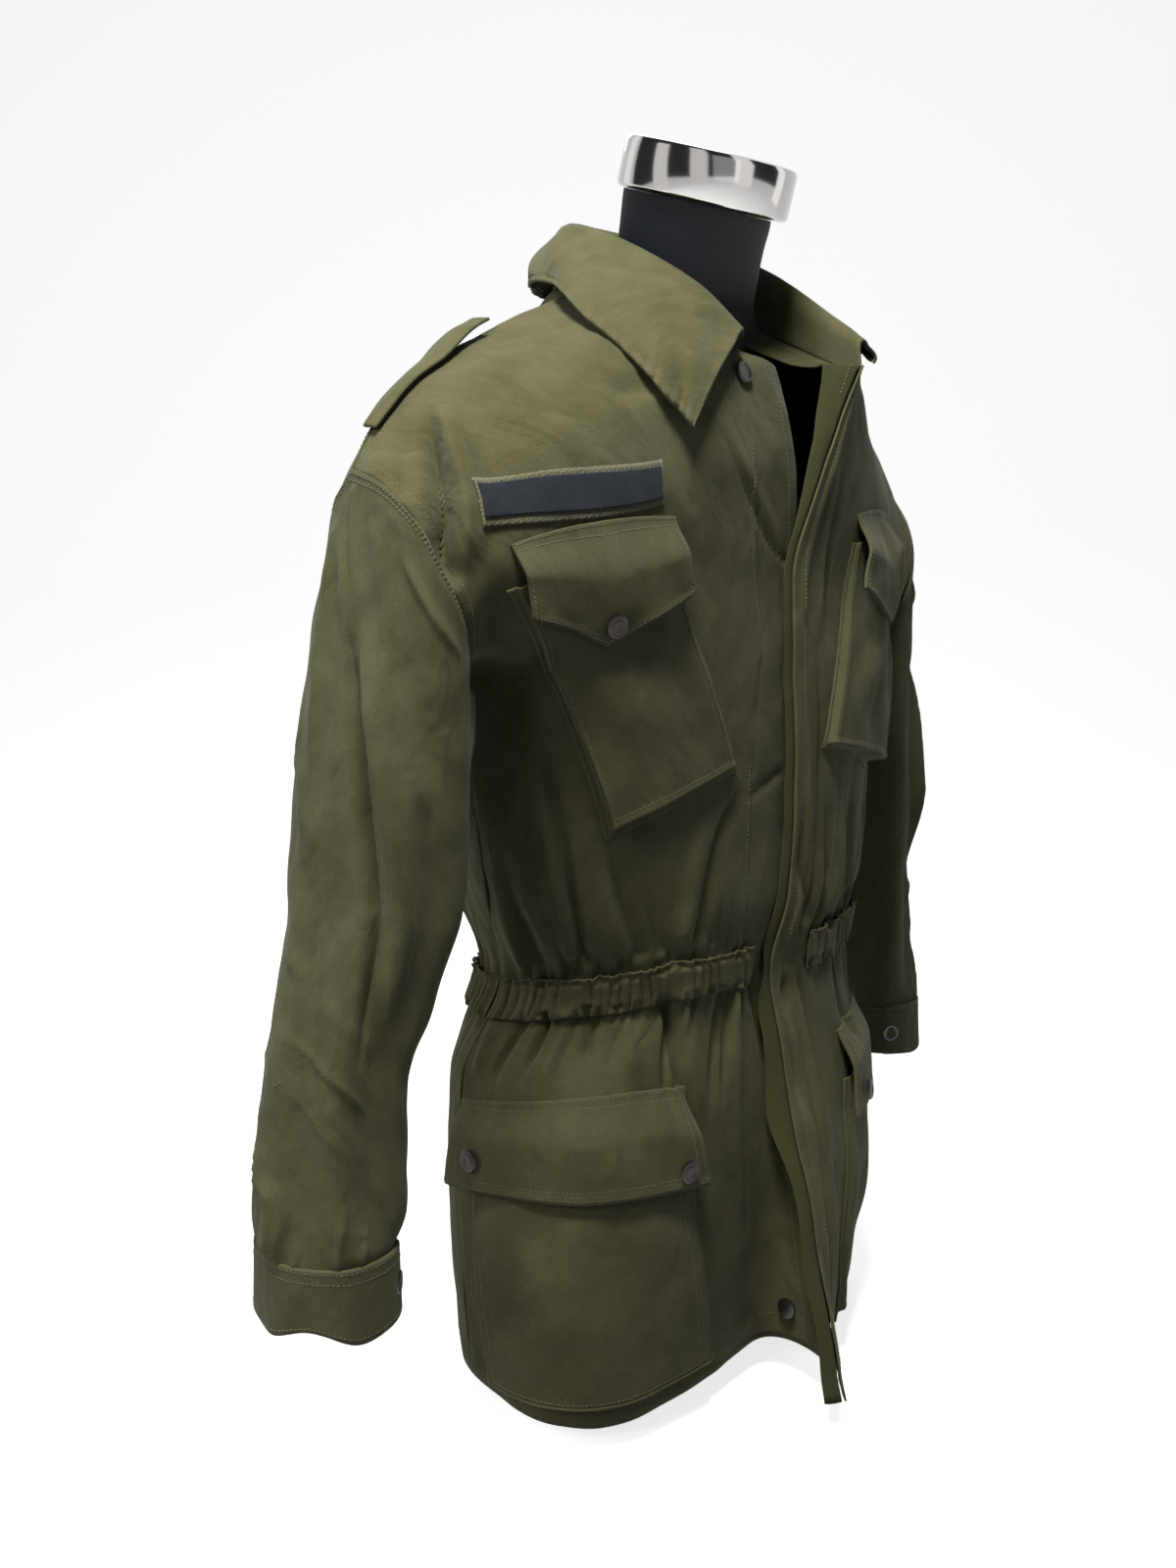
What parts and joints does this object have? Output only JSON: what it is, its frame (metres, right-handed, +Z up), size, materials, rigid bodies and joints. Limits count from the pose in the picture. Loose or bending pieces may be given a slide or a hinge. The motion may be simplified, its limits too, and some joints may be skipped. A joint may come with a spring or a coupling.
{
  "type": "field jacket on dress form",
  "caption": "Olive field jacket worn open on a limbless dress form: turned-down collar, four flap pockets, elastic waist, buttoned cuffs and shoulder straps.",
  "frame": {"origin": "centre of the dress form's flat foot", "axes": "+Z up; -Y the way the jacket faces; -X its wearer's right side"},
  "size_m": [0.7306, 0.3242, 0.8738],
  "materials": {
    "olive_twill": "matt cotton twill",
    "olive_twill_inside": "matt cotton twill",
    "olive_loop_tape": "matt loop tape",
    "navy_tape": "matt woven tape",
    "gunmetal": "aged",
    "dark_brown_button": "satin",
    "form_black": "matt stretched cover",
    "chrome": "polished"
  },
  "bodies": {
    "root": {"front_right": "olive_twill", "front_left": "olive_twill", "front_skirt_right": "olive_twill", "front_skirt_left": "olive_twill", "back": "olive_twill", "back_skirt": "olive_twill", "waist_casing_right": "olive_twill", "waist_casing_left": "olive_twill", "waist_casing_back": "olive_twill", "sleeve_top_right": "olive_twill", "sleeve_top_left": "olive_twill", "sleeve_under_right": "olive_twill", "sleeve_under_left": "olive_twill", "cuff_right": "olive_twill", "cuff_left": "olive_twill", "collar": "olive_twill", "chest_pocket_right": "olive_twill", "chest_pocket_left": "olive_twill", "chest_flap_right": "olive_twill", "chest_flap_left": "olive_twill", "lower_pocket_right": "olive_twill", "lower_pocket_left": "olive_twill", "lower_flap_right": "olive_twill", "lower_flap_left": "olive_twill", "epaulette_right": "olive_twill", "epaulette_left": "olive_twill", "fly_band": "olive_twill_inside", "name_tape_loop": "olive_loop_tape", "name_tape_strip": "navy_tape", "chest_snap_right": "gunmetal", "chest_snap_left": "gunmetal", "lower_snap_inner_right": "gunmetal", "lower_snap_inner_left": "gunmetal", "lower_snap_outer_right": "gunmetal", "lower_snap_outer_left": "gunmetal", "top_button": "dark_brown_button", "placket_button_upper": "dark_brown_button", "placket_button_lower": "dark_brown_button", "cuff_button_right": "dark_brown_button", "cuff_button_left": "dark_brown_button", "form_torso": "form_black", "neck_cap": "chrome"}
  },
  "joints": []
}
